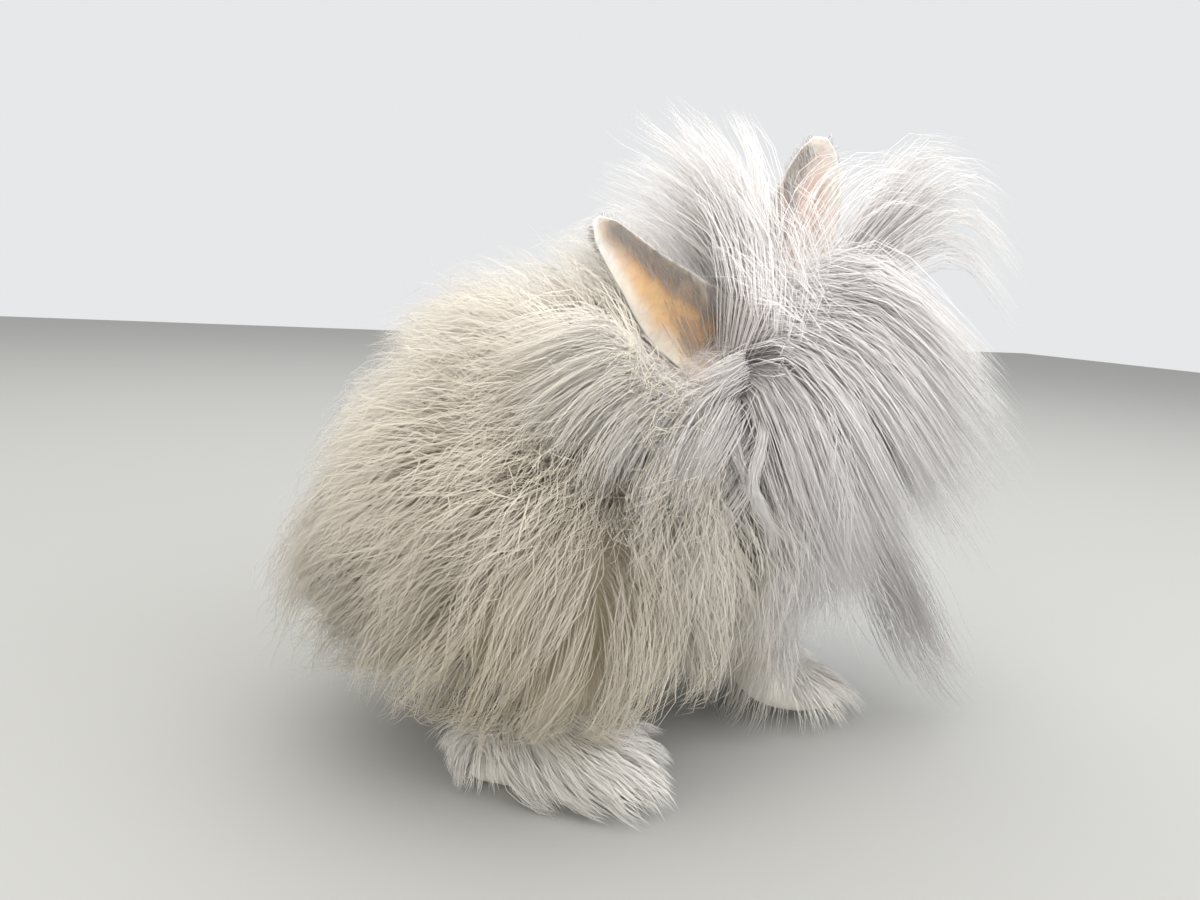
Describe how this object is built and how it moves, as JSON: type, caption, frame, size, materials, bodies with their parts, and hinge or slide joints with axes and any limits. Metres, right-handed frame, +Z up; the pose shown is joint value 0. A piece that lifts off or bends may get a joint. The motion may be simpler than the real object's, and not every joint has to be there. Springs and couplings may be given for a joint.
{
  "type": "angora rabbit model",
  "caption": "Life-size still model of a long-haired angora rabbit, crouching with its head turned and tilted, and its forelock thrown over its face.",
  "frame": {"origin": "middle of the model's bounding box, on the floor under its feet", "axes": "+X the way the body faces, +Y the rabbit's left, +Z up"},
  "size_m": [0.4218, 0.2878, 0.3351],
  "materials": {
    "wool": "warm beige-grey long wool",
    "face_wool": "silver-grey long hair",
    "leg_wool": "beige-grey haunch wool, paler on the foot",
    "foot_wool": "cream foot hair",
    "ear_skin": "thin peach-coloured ear skin with short down",
    "eye": "glossy dark eye"
  },
  "bodies": {
    "root": {"torso": "wool", "tail": "wool", "neck": "face_wool", "head": "face_wool", "ear_right": "ear_skin", "eye_right": "eye", "hind_leg_right": "leg_wool", "foreleg_right": "foot_wool", "ear_left": "ear_skin", "eye_left": "eye", "hind_leg_left": "leg_wool", "foreleg_left": "foot_wool"}
  },
  "joints": []
}
